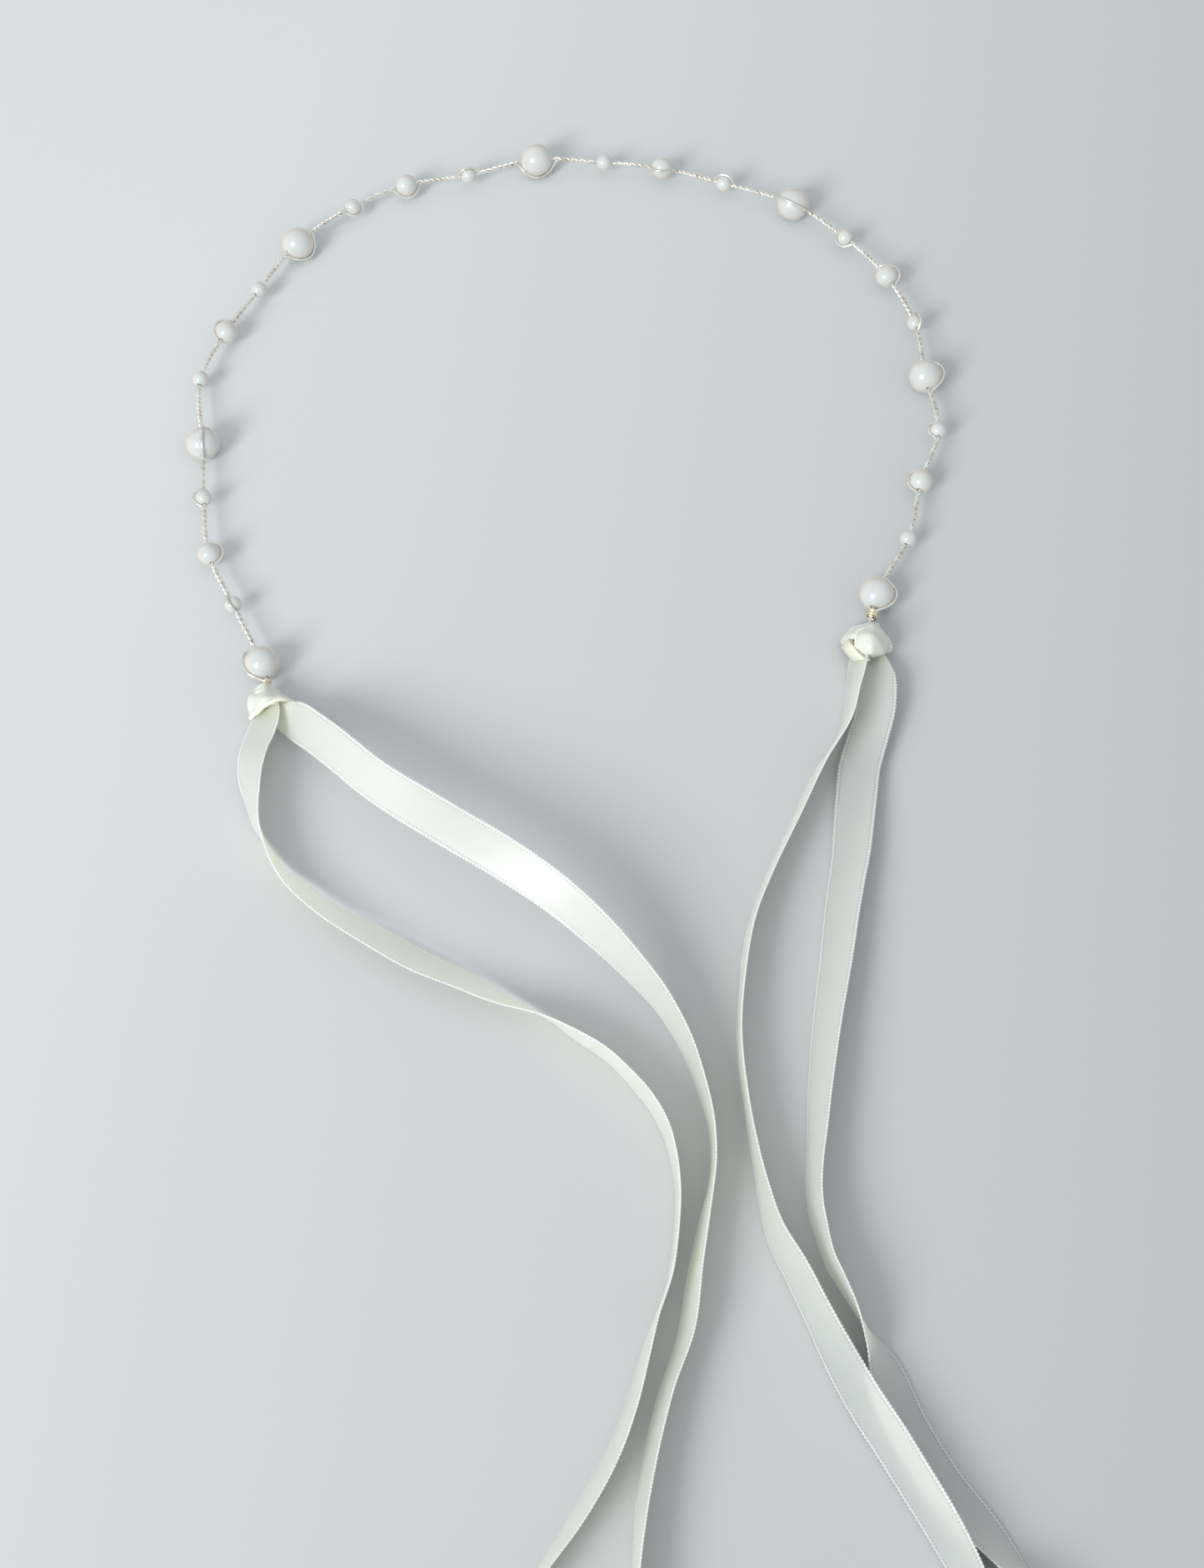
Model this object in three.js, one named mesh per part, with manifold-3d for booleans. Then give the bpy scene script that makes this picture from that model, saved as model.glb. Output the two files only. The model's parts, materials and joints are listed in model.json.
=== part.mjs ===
// A pearl hair crown: pearls of three sizes threaded on a hand-bent band of twisted wire, tied on with
// two lengths of satin ribbon. Millimetres, +Z up. The crown lies flat on z = 0 with the open side of
// the band towards -Y, and its origin is under the middle of the band and knots.
import * as THREE from "three";
import { mergeVertices } from "three/addons/utils/BufferGeometryUtils.js";
import Module from "manifold-3d";

const wasm = await Module();
wasm.setup();

// Pearls
const LARGE_PEARL = 8;
const MEDIUM_PEARL = 5.5;
const SMALL_PEARL = 4;
const PEARL_BORE = 1.2;
const BAND_HEIGHT = LARGE_PEARL / 2; // the large pearls carry the band

// Wire
const WIRE = 0.6;
const TWIST_RADIUS = 0.45; // from the middle of the pair to each strand
const TWIST_PITCH = 6;
const STEPS_A_TURN = 5;
const PEARL_CLEARANCE = 0.3; // between a pearl and the strand that goes round it
const EYELET_RADIUS = 1.65; // to the middle of the wire
const EYELET_SWEEP = 285; // degrees of the circle that the wire goes round

// Ribbon
const RIBBON_WIDTH = 9;
const RIBBON_THICKNESS = 0.5;
const RIBBON_CROWN = 0.03; // how much fuller each face is at a third of its width than at its edges
const GAP = 0.3;
const POST_RADIUS = 0.9; // the ribbon's neck through the eyelet
const SLOT_MARGINS = [28, 55]; // degrees that a knot is open on either side of the wire's swing
const COIL_OUTER = 23;
const COIL_INNER = 16;
const COIL_HEIGHT = 9.4;
const COIL_PITCH = 3.6; // between one turn of ribbon and the next

// The bent line of the band, one [x, y] for each pearl, from the left end round to the right end.
const BAND_ROUTE = [
  [-67.5, -72.5], [-75, -56], [-81.5, -41.5], [-84, -25], [-85.5, -8.5], [-87.5, 11.5], [-82.5, 26.5],
  [-75.5, 40.5], [-67, 56], [-54, 68.5], [-41, 76], [-25.5, 79.5], [-8.5, 85], [8.5, 84], [23, 82],
  [38.5, 76.5], [55.5, 69.5], [68, 58], [77.5, 45], [83.5, 29.5], [85, 12.5], [87, -4.5], [82, -20],
  [78, -37], [70, -53],
];

// Where the binding strand goes round each pearl, in degrees about the band: 0 is the outside of the
// crown, 90 the top, 180 the side of the head.
const BINDING_SIDE = [
  15, 62, 172, 8, 92, -65, 25, -60, 210, 208, 215, 88, 218, -62, 150, 72, 130, 210,
  15, 65, 15, 174, 178, -65, 5,
];

// The two knots: middle, half sizes, the collar's first and last distance from the middle, and its rounds.
const KNOTS = {
  left: { middle: [-64.8, -83.2], half: [4.7, 4.6, 4.6], collar: [4.9, 6.2], rounds: 1, swing: -60 },
  right: { middle: [67.5, -66], half: [5.5, 5.2, 4.6], collar: [5.8, 8.4], rounds: 2, swing: 60 },
};

// The ribbon tails: [x, y, z, roll] of the ribbon's middle. The roll is the angle in degrees of the
// edge on the right-hand side, 0 level and 90 straight up. side is the side that the tail coils to.
const TAILS = {
  left_tail_outer: {
    side: 1,
    route: [
      [-61.5, -88.8, 6, -75], [-51, -99, 10, -53], [-40, -110, 13, -42], [-25, -122, 15, -28],
      [-12, -131, 15, -36], [-1, -139, 13.5, -48], [8, -147, 11.5, -60], [14, -153, 9.5, -70],
      [20, -160, 7.5, -78], [25, -169, 5.8, -82], [28, -178, 4.9, -85], [30, -188, 4.8, -87],
      [30, -197, 4.8, -84], [28, -208, 4.7, -76], [26, -219, 4.6, -71], [24, -232, 4.5, -67],
      [20, -244, 4.5, -68], [17, -257, 4.6, -71], [15, -270, 4.7, -76], [14, -286, 4.8, -88],
      [13, -303, 4.8, -90],
    ],
  },
  left_tail_inner: {
    side: -1,
    route: [
      [-67.5, -89.2, 6.2, -44], [-68, -96, 6.8, -40], [-68, -102, 6.5, -47], [-67, -108, 6, -64],
      [-66, -114, 5.4, -80], [-64, -119, 5, -98], [-60, -126, 4.6, -118], [-56, -131, 4.6, -130],
      [-49, -137, 4.3, -138], [-38, -144, 4, -147], [-30, -149, 4, -148], [-22, -153, 4, -143],
      [-13, -158, 4.3, -133], [-4, -162.5, 4.7, -115], [2, -166.5, 4.8, -103], [9, -171.5, 4.8, -98],
      [14, -177, 4.8, -94], [18, -182.5, 4.8, -91], [21, -189, 4.8, -88], [22.5, -196, 4.8, -87],
      [23, -203, 4.8, -86], [22.5, -211, 4.8, -84], [21, -221, 4.8, -82], [18, -230, 4.8, -79],
      [16, -237, 4.7, -74], [13, -248, 4.6, -69], [9, -258, 4.5, -63], [3, -269, 4.5, -62],
      [-4, -280, 4.6, -70], [-10, -291, 4.8, -82], [-13, -303, 4.8, -90],
    ],
  },
  right_tail_inner: {
    side: -1,
    route: [
      [65.2, -72.2, 5.4, -78], [64, -79, 5, -76], [61, -90, 4.8, -73], [55, -101, 4.7, -72],
      [49, -115, 4.7, -73], [43, -129, 4.7, -75], [39, -141, 4.8, -79], [37, -154, 4.8, -84],
      [36, -168, 4.8, -87], [37, -182, 4.8, -89], [38.5, -194, 4.8, -86], [40, -203, 4.7, -80],
      [42, -211, 4.6, -74], [46, -219.5, 4.5, -67], [50, -229, 4.3, -62], [54, -238, 4, -54],
      [58, -246, 3.9, -50], [62, -253, 3.9, -49], [66, -260.5, 3.9, -50], [70.5, -269, 3.9, -52],
      [75, -279, 4.3, -60], [79, -290, 4.7, -76], [80.5, -304, 4.8, -90], [80.5, -324, 4.8, -90],
      [80, -343, 4.8, -90],
    ],
  },
  right_tail_outer: {
    side: 1,
    route: [
      [69.6, -72.2, 4.4, -50], [69, -78, 4, -38], [68, -85, 3.6, -26], [66, -92, 3, -12],
      [64, -99, 2.5, -6], [63, -106, 2.4, -12], [62, -114, 2.5, -20], [61, -122, 2.8, -27],
      [59.5, -130, 3.1, -32], [58, -139, 3.3, -37], [56.5, -149, 3.6, -42], [54, -164, 4, -50],
      [52, -179, 4.3, -59], [51, -189, 4.5, -66], [50, -198, 4.7, -71], [50, -205, 4.8, -76],
      [51, -211, 4.8, -81], [52.5, -217, 4.8, -87], [54.8, -222, 4.8, -92], [57.5, -228, 4.7, -100],
      [60, -233.5, 4.4, -120], [62.2, -239, 3, -146], [65, -247.5, 2, -160], [68.3, -254.5, 1.8, -163],
      [72.3, -261.5, 1.8, -163], [77, -268, 2.2, -158], [83, -277, 3.5, -135], [88.5, -288, 4.7, -105],
      [91, -303, 4.8, -90],
    ],
  },
};

const UP = new THREE.Vector3(0, 0, 1);
const radians = THREE.MathUtils.degToRad;
const crown = new THREE.Group();

const nacre = { color: 0xf0eadf, roughness: 0.22, metalness: 0 };
const champagneWire = { color: 0xc9c0a8, roughness: 0.3, metalness: 1 };
const goldWire = { color: 0xcaa35a, roughness: 0.3, metalness: 1 };
const satin = { color: 0xe8efe6, roughness: 0.45, metalness: 0 };

function addPiece(name, geometry, look) {
  const mesh = new THREE.Mesh(geometry, new THREE.MeshStandardMaterial(look));
  mesh.name = name;
  crown.add(mesh);
  return mesh;
}

// A path through points that are already as far apart as its steps should be.
class PointPath extends THREE.Curve {
  constructor(points) {
    super();
    this.points = points;
  }

  getPoint(t, target = new THREE.Vector3()) {
    const last = this.points.length - 1;
    const place = THREE.MathUtils.clamp(t, 0, 1) * last;
    const first = Math.min(Math.floor(place), last - 1);
    return target.lerpVectors(this.points[first], this.points[first + 1], place - first);
  }

  getPointAt(t, target) {
    return this.getPoint(t, target);
  }

  getTangentAt(t, target = new THREE.Vector3()) {
    const last = this.points.length - 1;
    const near = Math.round(t * last);
    const before = this.points[Math.max(near - 1, 0)];
    const after = this.points[Math.min(near + 1, last)];
    return target.subVectors(after, before).normalize();
  }
}

// A path for a flat ribbon, whose width turns with the roll that each point states.
class RibbonPath extends PointPath {
  constructor(points, rolls) {
    super(points);
    this.rolls = rolls;
  }

  computeFrenetFrames(segments) {
    const tangents = [];
    const normals = [];
    const binormals = [];
    for (let i = 0; i <= segments; i++) {
      const tangent = this.getTangentAt(i / segments);
      const { width, face } = ribbonSides(tangent, this.rolls[i]);
      tangents.push(tangent);
      normals.push(width);
      binormals.push(face);
    }
    return { tangents, normals, binormals };
  }
}

// The directions across a ribbon and out of its face, for a direction of travel and a roll in degrees.
function ribbonSides(tangent, roll) {
  const right = new THREE.Vector3().crossVectors(tangent, UP).normalize();
  const lift = new THREE.Vector3().crossVectors(right, tangent);
  const angle = radians(roll);
  const width = right.multiplyScalar(Math.cos(angle)).addScaledVector(lift, Math.sin(angle)).normalize();
  return { width, face: new THREE.Vector3().crossVectors(tangent, width) };
}

function roundSection(radius, sides) {
  const corners = [];
  for (let i = 0; i < sides; i++) {
    const angle = (i / sides) * Math.PI * 2;
    corners.push(new THREE.Vector2(Math.cos(angle) * radius, Math.sin(angle) * radius));
  }
  return new THREE.Shape(corners);
}

function wireAlong(points) {
  return new THREE.ExtrudeGeometry(roundSection(WIRE / 2, 5), {
    steps: points.length - 1,
    extrudePath: new PointPath(points),
  });
}

// Manifold-3d joins and cuts, and these two carry a geometry there and back.
function toSolid(geometry) {
  const bare = geometry.index ? geometry.toNonIndexed() : geometry.clone();
  bare.deleteAttribute("normal");
  bare.deleteAttribute("uv");
  const merged = mergeVertices(bare, 1e-4);
  return new wasm.Manifold(
    new wasm.Mesh({
      numProp: 3,
      vertProperties: merged.attributes.position.array,
      triVerts: new Uint32Array(merged.index.array),
    }),
  );
}

function toGeometry(solid) {
  const mesh = solid.getMesh();
  return new THREE.BufferGeometry()
    .setAttribute("position", new THREE.BufferAttribute(mesh.vertProperties, 3))
    .setIndex(new THREE.BufferAttribute(mesh.triVerts, 1));
}

const pearlRadius = (index) => [LARGE_PEARL, SMALL_PEARL, MEDIUM_PEARL, SMALL_PEARL][index % 4] / 2;

// The line of the band, with a straight stem at each end that runs to the middle of a knot.
const stations = BAND_ROUTE.map(([x, y]) => new THREE.Vector3(x, y, BAND_HEIGHT));
const band = new THREE.CatmullRomCurve3(
  [
    new THREE.Vector3(...KNOTS.left.middle, BAND_HEIGHT),
    ...stations,
    new THREE.Vector3(...KNOTS.right.middle, BAND_HEIGHT),
  ],
  false,
  "centripetal",
);
band.arcLengthDivisions = 2600;
const bandLength = band.getLength();

// How far along the band each pearl's middle is.
const pearlPlaces = stations.map((_, index) => {
  const lengths = band.getLengths();
  return lengths[Math.round(((index + 1) / (stations.length + 1)) * band.arcLengthDivisions)];
});

function bandFrame(distance) {
  const share = THREE.MathUtils.clamp(distance / bandLength, 0, 1);
  const tangent = band.getTangentAt(share);
  return { point: band.getPointAt(share), tangent, outward: new THREE.Vector3().crossVectors(UP, tangent) };
}

function besideBand(distance, offset, angle) {
  const { point, outward } = bandFrame(distance);
  return point
    .addScaledVector(outward, offset * Math.cos(angle))
    .addScaledVector(UP, offset * Math.sin(angle));
}

// The twist: at every pearl the binding strand is on its stated side, and it turns evenly in between.
const bends = pearlPlaces.map((place, index) => ({
  place,
  reach: pearlRadius(index) + PEARL_CLEARANCE + WIRE / 2,
  side: radians(BINDING_SIDE[index]),
}));
const bandStart = KNOTS.left.collar[0];
const bandEnd = bandLength - KNOTS.right.collar[0];

function twistBetween(from, to) {
  const length = to.place - to.reach - (from.place + from.reach);
  const turns = Math.max(1, Math.round(length / TWIST_PITCH));
  const turn = THREE.MathUtils.euclideanModulo(to.side - from.side, Math.PI * 2);
  return { from, to, length, sweep: turn + (turns - 1) * Math.PI * 2 };
}

const twists = [
  twistBetween({ place: bandStart, reach: 0, side: 0 }, bends[0]),
  ...bends.slice(1).map((bend, index) => twistBetween(bends[index], bend)),
  twistBetween(bends.at(-1), { place: bandEnd, reach: 0, side: 0 }),
];

// Both strands' points, from one end of the twist to the other. leave is how far from the band's line
// a strand runs, as a function of the distance from the nearest pearl's middle and that pearl's reach.
function strandPoints(phase, leave) {
  const points = [];
  twists.forEach(({ from, length, sweep, to }, index) => {
    const steps = Math.max(3, Math.ceil((sweep / (Math.PI * 2)) * STEPS_A_TURN));
    for (let i = 0; i <= steps; i++) {
      const along = (i / steps) * length;
      const distance = from.place + from.reach + along;
      const before = distance - from.place;
      const after = to.place - distance;
      const offset = before < after ? leave(before, from.reach) : leave(after, to.reach);
      points.push(besideBand(distance, offset, from.side + phase + (i / steps) * sweep));
    }
    if (index === twists.length - 1) return;
    const round = Math.ceil(to.reach * 1.9);
    for (let i = 1; i < round; i++) {
      const along = -to.reach * Math.cos((i / round) * Math.PI);
      points.push(besideBand(to.place + along, leave(Math.abs(along), to.reach), to.side + phase));
    }
  });
  return points;
}

// The binding strand bows round the pearl, and the stringing strand closes in to go through the bore.
const bow = (distance, reach) =>
  Math.max(TWIST_RADIUS, Math.sqrt(Math.max(0, reach * reach - distance * distance)));
const thread = (distance, reach) => {
  if (reach === 0) return TWIST_RADIUS;
  const poleGap = PEARL_CLEARANCE + WIRE / 2;
  return TWIST_RADIUS * THREE.MathUtils.smoothstep(distance, reach - poleGap + 0.05, reach + 0.3);
};

// The stringing wire's open eyelet: it swings out from the stem and goes most of the way round.
function eyeletPoints(knot, stemAway) {
  const middle = new THREE.Vector3(...knot.middle, BAND_HEIGHT);
  const aside = new THREE.Vector3().crossVectors(UP, stemAway);
  const at = (up, out) => middle.clone().addScaledVector(stemAway, up).addScaledVector(aside, out);
  const points = [at(4, 0.1), at(3.2, 0.7), at(2.3, 1.3), at(1.1, 1.6)];
  const sweep = radians(EYELET_SWEEP);
  const steps = 12;
  for (let i = 0; i <= steps; i++) {
    const angle = (i / steps) * sweep;
    points.push(at(-EYELET_RADIUS * Math.sin(angle), EYELET_RADIUS * Math.cos(angle)));
  }
  return points;
}

const stemDirection = (distance, sign) => bandFrame(distance).tangent.multiplyScalar(sign);
const leftStem = stemDirection(3, 1);
const rightStem = stemDirection(bandLength - 3, -1);

addPiece(
  "stringing_wire",
  wireAlong([
    ...eyeletPoints(KNOTS.left, leftStem).reverse(),
    ...strandPoints(Math.PI, thread),
    ...eyeletPoints(KNOTS.right, rightStem),
  ]),
  champagneWire,
);
addPiece("binding_wire", wireAlong(strandPoints(0, bow)), champagneWire);

// Turns a piece that was made about +Y so that it lies along the band at a place.
function layOnBand(mesh, distance) {
  const { point, tangent } = bandFrame(distance);
  mesh.position.copy(point);
  mesh.quaternion.setFromUnitVectors(new THREE.Vector3(0, 1, 0), tangent);
}

// Pearls: a ball with a bore along +Y, its profile going up the outside and back down the bore.
function pearlGeometry(radius) {
  const rings = Math.round(4 + radius);
  const around = Math.round(8 + radius * 1.5);
  const bore = PEARL_BORE / 2;
  const pole = Math.acos(bore / radius);
  const profile = [];
  for (let i = 0; i <= rings; i++) {
    const latitude = -pole + (2 * pole * i) / rings;
    profile.push(new THREE.Vector2(radius * Math.cos(latitude), radius * Math.sin(latitude)));
  }
  profile.push(profile[0].clone());
  return new THREE.LatheGeometry(profile, around);
}

stations.forEach((_, index) => {
  const name = "pearl_" + String(index + 1).padStart(2, "0");
  const pearl = addPiece(name, pearlGeometry(pearlRadius(index)), nacre);
  layOnBand(pearl, pearlPlaces[index]);
});

// Collars: rounds of gold wire closed tight round the end of the twist, one ring with a ridge a round.
function collarGeometry(length, rounds) {
  const bore = TWIST_RADIUS + WIRE / 2 + GAP;
  const profile = [new THREE.Vector2(bore, -length / 2)];
  for (let i = 0; i < rounds * 4; i++) {
    const ridge = Math.sin((((i % 4) + 0.5) / 4) * Math.PI);
    const height = -length / 2 + ((i + 0.5) / (rounds * 4)) * length;
    profile.push(new THREE.Vector2(bore + 0.2 + ridge * 0.35, height));
  }
  profile.push(new THREE.Vector2(bore, length / 2), profile[0].clone());
  return new THREE.LatheGeometry(profile, 12);
}

for (const [side, { collar, rounds }] of Object.entries(KNOTS)) {
  const length = collar[1] - collar[0] - GAP;
  const middle = (collar[0] + collar[1] + GAP) / 2;
  const mesh = addPiece(side + "_collar", collarGeometry(length, rounds), goldWire);
  layOnBand(mesh, side === "left" ? middle : bandLength - middle);
}

// Knots: a rounded bundle, flat where it lies, hollowed for the eyelet round a neck of ribbon and
// opened towards the stem as far as the ribbon swings.
function knotGeometry({ half, swing }, stemAngle) {
  const bundle = new THREE.SphereGeometry(1, 16, 10);
  bundle.rotateX(Math.PI / 2);
  bundle.scale(...half);
  const floor = new THREE.BoxGeometry(20, 20, 10);
  floor.translate(0, 0, -BAND_HEIGHT - 5);
  const hollowHeight = WIRE + 4 * GAP;
  const hollowReach = EYELET_RADIUS + WIRE / 2 + 1.6 * GAP;
  const hollow = new THREE.CylinderGeometry(hollowReach, hollowReach, hollowHeight, 20);
  hollow.rotateX(Math.PI / 2);
  const post = new THREE.CylinderGeometry(POST_RADIUS, POST_RADIUS, hollowHeight + 1, 10);
  post.rotateX(Math.PI / 2);
  const fanFrom = stemAngle + radians(Math.min(0, -swing) - SLOT_MARGINS[0]);
  const fanTo = stemAngle + radians(Math.max(0, -swing) + SLOT_MARGINS[1]);
  const fan = new THREE.Shape();
  fan.moveTo(Math.cos(stemAngle) * 0.1, Math.sin(stemAngle) * 0.1);
  for (let i = 0; i <= 4; i++) {
    const angle = THREE.MathUtils.lerp(fanFrom, fanTo, i / 4);
    fan.lineTo(Math.cos(angle) * 9, Math.sin(angle) * 9);
  }
  const opening = new THREE.ExtrudeGeometry(fan, { depth: hollowHeight, bevelEnabled: false });
  opening.translate(0, 0, -hollowHeight / 2);
  const made = toSolid(bundle)
    .subtract(toSolid(floor))
    .subtract(toSolid(hollow))
    .subtract(toSolid(opening))
    .add(toSolid(post));
  return toGeometry(made);
}

for (const [side, knot] of Object.entries(KNOTS)) {
  const stem = side === "left" ? leftStem : rightStem;
  const mesh = addPiece(side + "_ribbon_knot", knotGeometry(knot, Math.atan2(stem.y, stem.x)), satin);
  mesh.position.set(...knot.middle, BAND_HEIGHT);
}

// Ribbon tails. The seen stretch follows its route, and the rest goes once round in a coil.
// The section has two points more on each face, so that a twisting ribbon's faces stay apart.
const ribbonFace = [-1 / 2, -1 / 6, 1 / 6, 1 / 2].map((share) => {
  const crown = Math.abs(share) < 1 / 2 ? RIBBON_CROWN : 0;
  return new THREE.Vector2(share * RIBBON_WIDTH, -RIBBON_THICKNESS / 2 - crown);
});
const ribbonSection = new THREE.Shape([...ribbonFace, ...ribbonFace.map((point) => point.clone().negate())]);

function tailGeometry(route) {
  const middle = new THREE.CatmullRomCurve3(
    route.map(([x, y, z]) => new THREE.Vector3(x, y, z)),
    false,
    "centripetal",
  );
  const steps = (route.length - 1) * 2;
  const points = [];
  const rolls = [];
  for (let i = 0; i <= steps; i++) {
    const near = Math.min(Math.floor(i / 2), route.length - 2);
    points.push(middle.getPoint(i / steps));
    rolls.push(THREE.MathUtils.lerp(route[near][3], route[near + 1][3], i / 2 - near));
  }
  return new THREE.ExtrudeGeometry(ribbonSection, { steps, extrudePath: new RibbonPath(points, rolls) });
}

function coilGeometry() {
  return new THREE.LatheGeometry(
    [
      new THREE.Vector2(COIL_INNER, 0),
      new THREE.Vector2(COIL_OUTER, 0),
      new THREE.Vector2(COIL_OUTER, COIL_HEIGHT),
      new THREE.Vector2(COIL_INNER, COIL_HEIGHT),
      new THREE.Vector2(COIL_INNER, 0),
    ],
    28,
  ).rotateX(Math.PI / 2);
}

// A tail enters its coil as the outermost turn, so the coil's middle is this far to the side and beyond.
const across = COIL_OUTER - COIL_PITCH / 2;
const below = Math.sqrt((COIL_OUTER + GAP + RIBBON_THICKNESS / 2) ** 2 - across ** 2);

for (const [name, { route, side }] of Object.entries(TAILS)) {
  addPiece(name, tailGeometry(route), satin);
  const [x, y] = route.at(-1);
  const coil = addPiece(name + "_coil", coilGeometry(), satin);
  coil.position.set(x + side * across, y - below, 0);
}

export default crown;
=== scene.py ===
"""A pearl hair crown on a pale surface: pearls on a band of twisted wire, and two knotted satin ribbons.

Everything is in metres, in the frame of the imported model. The pearls, the wires, the collars and the
ribbons are each built here at full detail, in the place of their plain CAD solids.
"""

import json
import math

import bpy
import numpy as np
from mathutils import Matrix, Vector


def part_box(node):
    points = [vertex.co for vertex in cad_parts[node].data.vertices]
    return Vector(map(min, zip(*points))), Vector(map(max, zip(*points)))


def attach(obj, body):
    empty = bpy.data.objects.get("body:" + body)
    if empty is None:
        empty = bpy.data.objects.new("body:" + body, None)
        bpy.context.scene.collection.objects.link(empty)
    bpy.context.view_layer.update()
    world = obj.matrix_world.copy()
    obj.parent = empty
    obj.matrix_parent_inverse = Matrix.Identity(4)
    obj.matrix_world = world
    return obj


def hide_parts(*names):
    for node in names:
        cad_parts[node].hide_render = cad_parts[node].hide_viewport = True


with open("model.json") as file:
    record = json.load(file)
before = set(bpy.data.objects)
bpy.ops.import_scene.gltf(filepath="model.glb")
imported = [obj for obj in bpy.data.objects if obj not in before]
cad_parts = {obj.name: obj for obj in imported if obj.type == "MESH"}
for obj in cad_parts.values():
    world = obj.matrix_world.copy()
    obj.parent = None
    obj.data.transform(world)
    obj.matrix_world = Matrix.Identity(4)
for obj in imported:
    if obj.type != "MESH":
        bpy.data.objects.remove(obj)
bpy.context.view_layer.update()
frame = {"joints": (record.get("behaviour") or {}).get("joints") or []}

MM = 0.001
UP = np.array([0.0, 0.0, 1.0])

# Ribbon
RIBBON_WIDTH = 9 * MM
TAIL_LENGTH = 0.42
PICOT = 0.8 * MM  # from one loop of the woven edge to the next
PICOT_STEPS = 6  # rings of the ribbon's section in each loop
PICOT_REACH = 0.32 * MM  # from the hollows between the loops to their tips
EDGE_START = 3.95  # millimetres from the ribbon's middle line to its pale woven edge
HOLE_MIDDLE = 3.78  # and to the row of holes beside it, painted as dark dots of shade
HOLE_HALF = 0.16
PAINTED_GLOW_LENGTH = 10 * MM  # along a ribbon, past the painted warm glow at its start, which stands in for the light of a knot's hollow
COIL_OUTER = 23 * MM  # from a coil's middle to its outside
COIL_PITCH = 3.6 * MM  # between one turn of ribbon and the next
COIL_GAP = 0.3 * MM  # between a tail's solid and its coil's solid in the CAD model
CAD_THICKNESS = 0.5 * MM

# Wire
WIRE = 0.6 * MM
TWIST_RADIUS = 0.34 * MM
TWIST_PITCH = 2.7 * MM
TWIST_FROM_LEFT_KNOT = 4.9 * MM
TWIST_FROM_RIGHT_KNOT = 5.8 * MM
BOW_GAP = 0.12 * MM  # between a pearl and the strand that goes over it
EYELET_RADIUS = 1.65 * MM

# Pearl
BORE_RADIUS = 0.4 * MM
BORE_LIP = 0.12 * MM
OUT_OF_ROUND = 0.004

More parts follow.
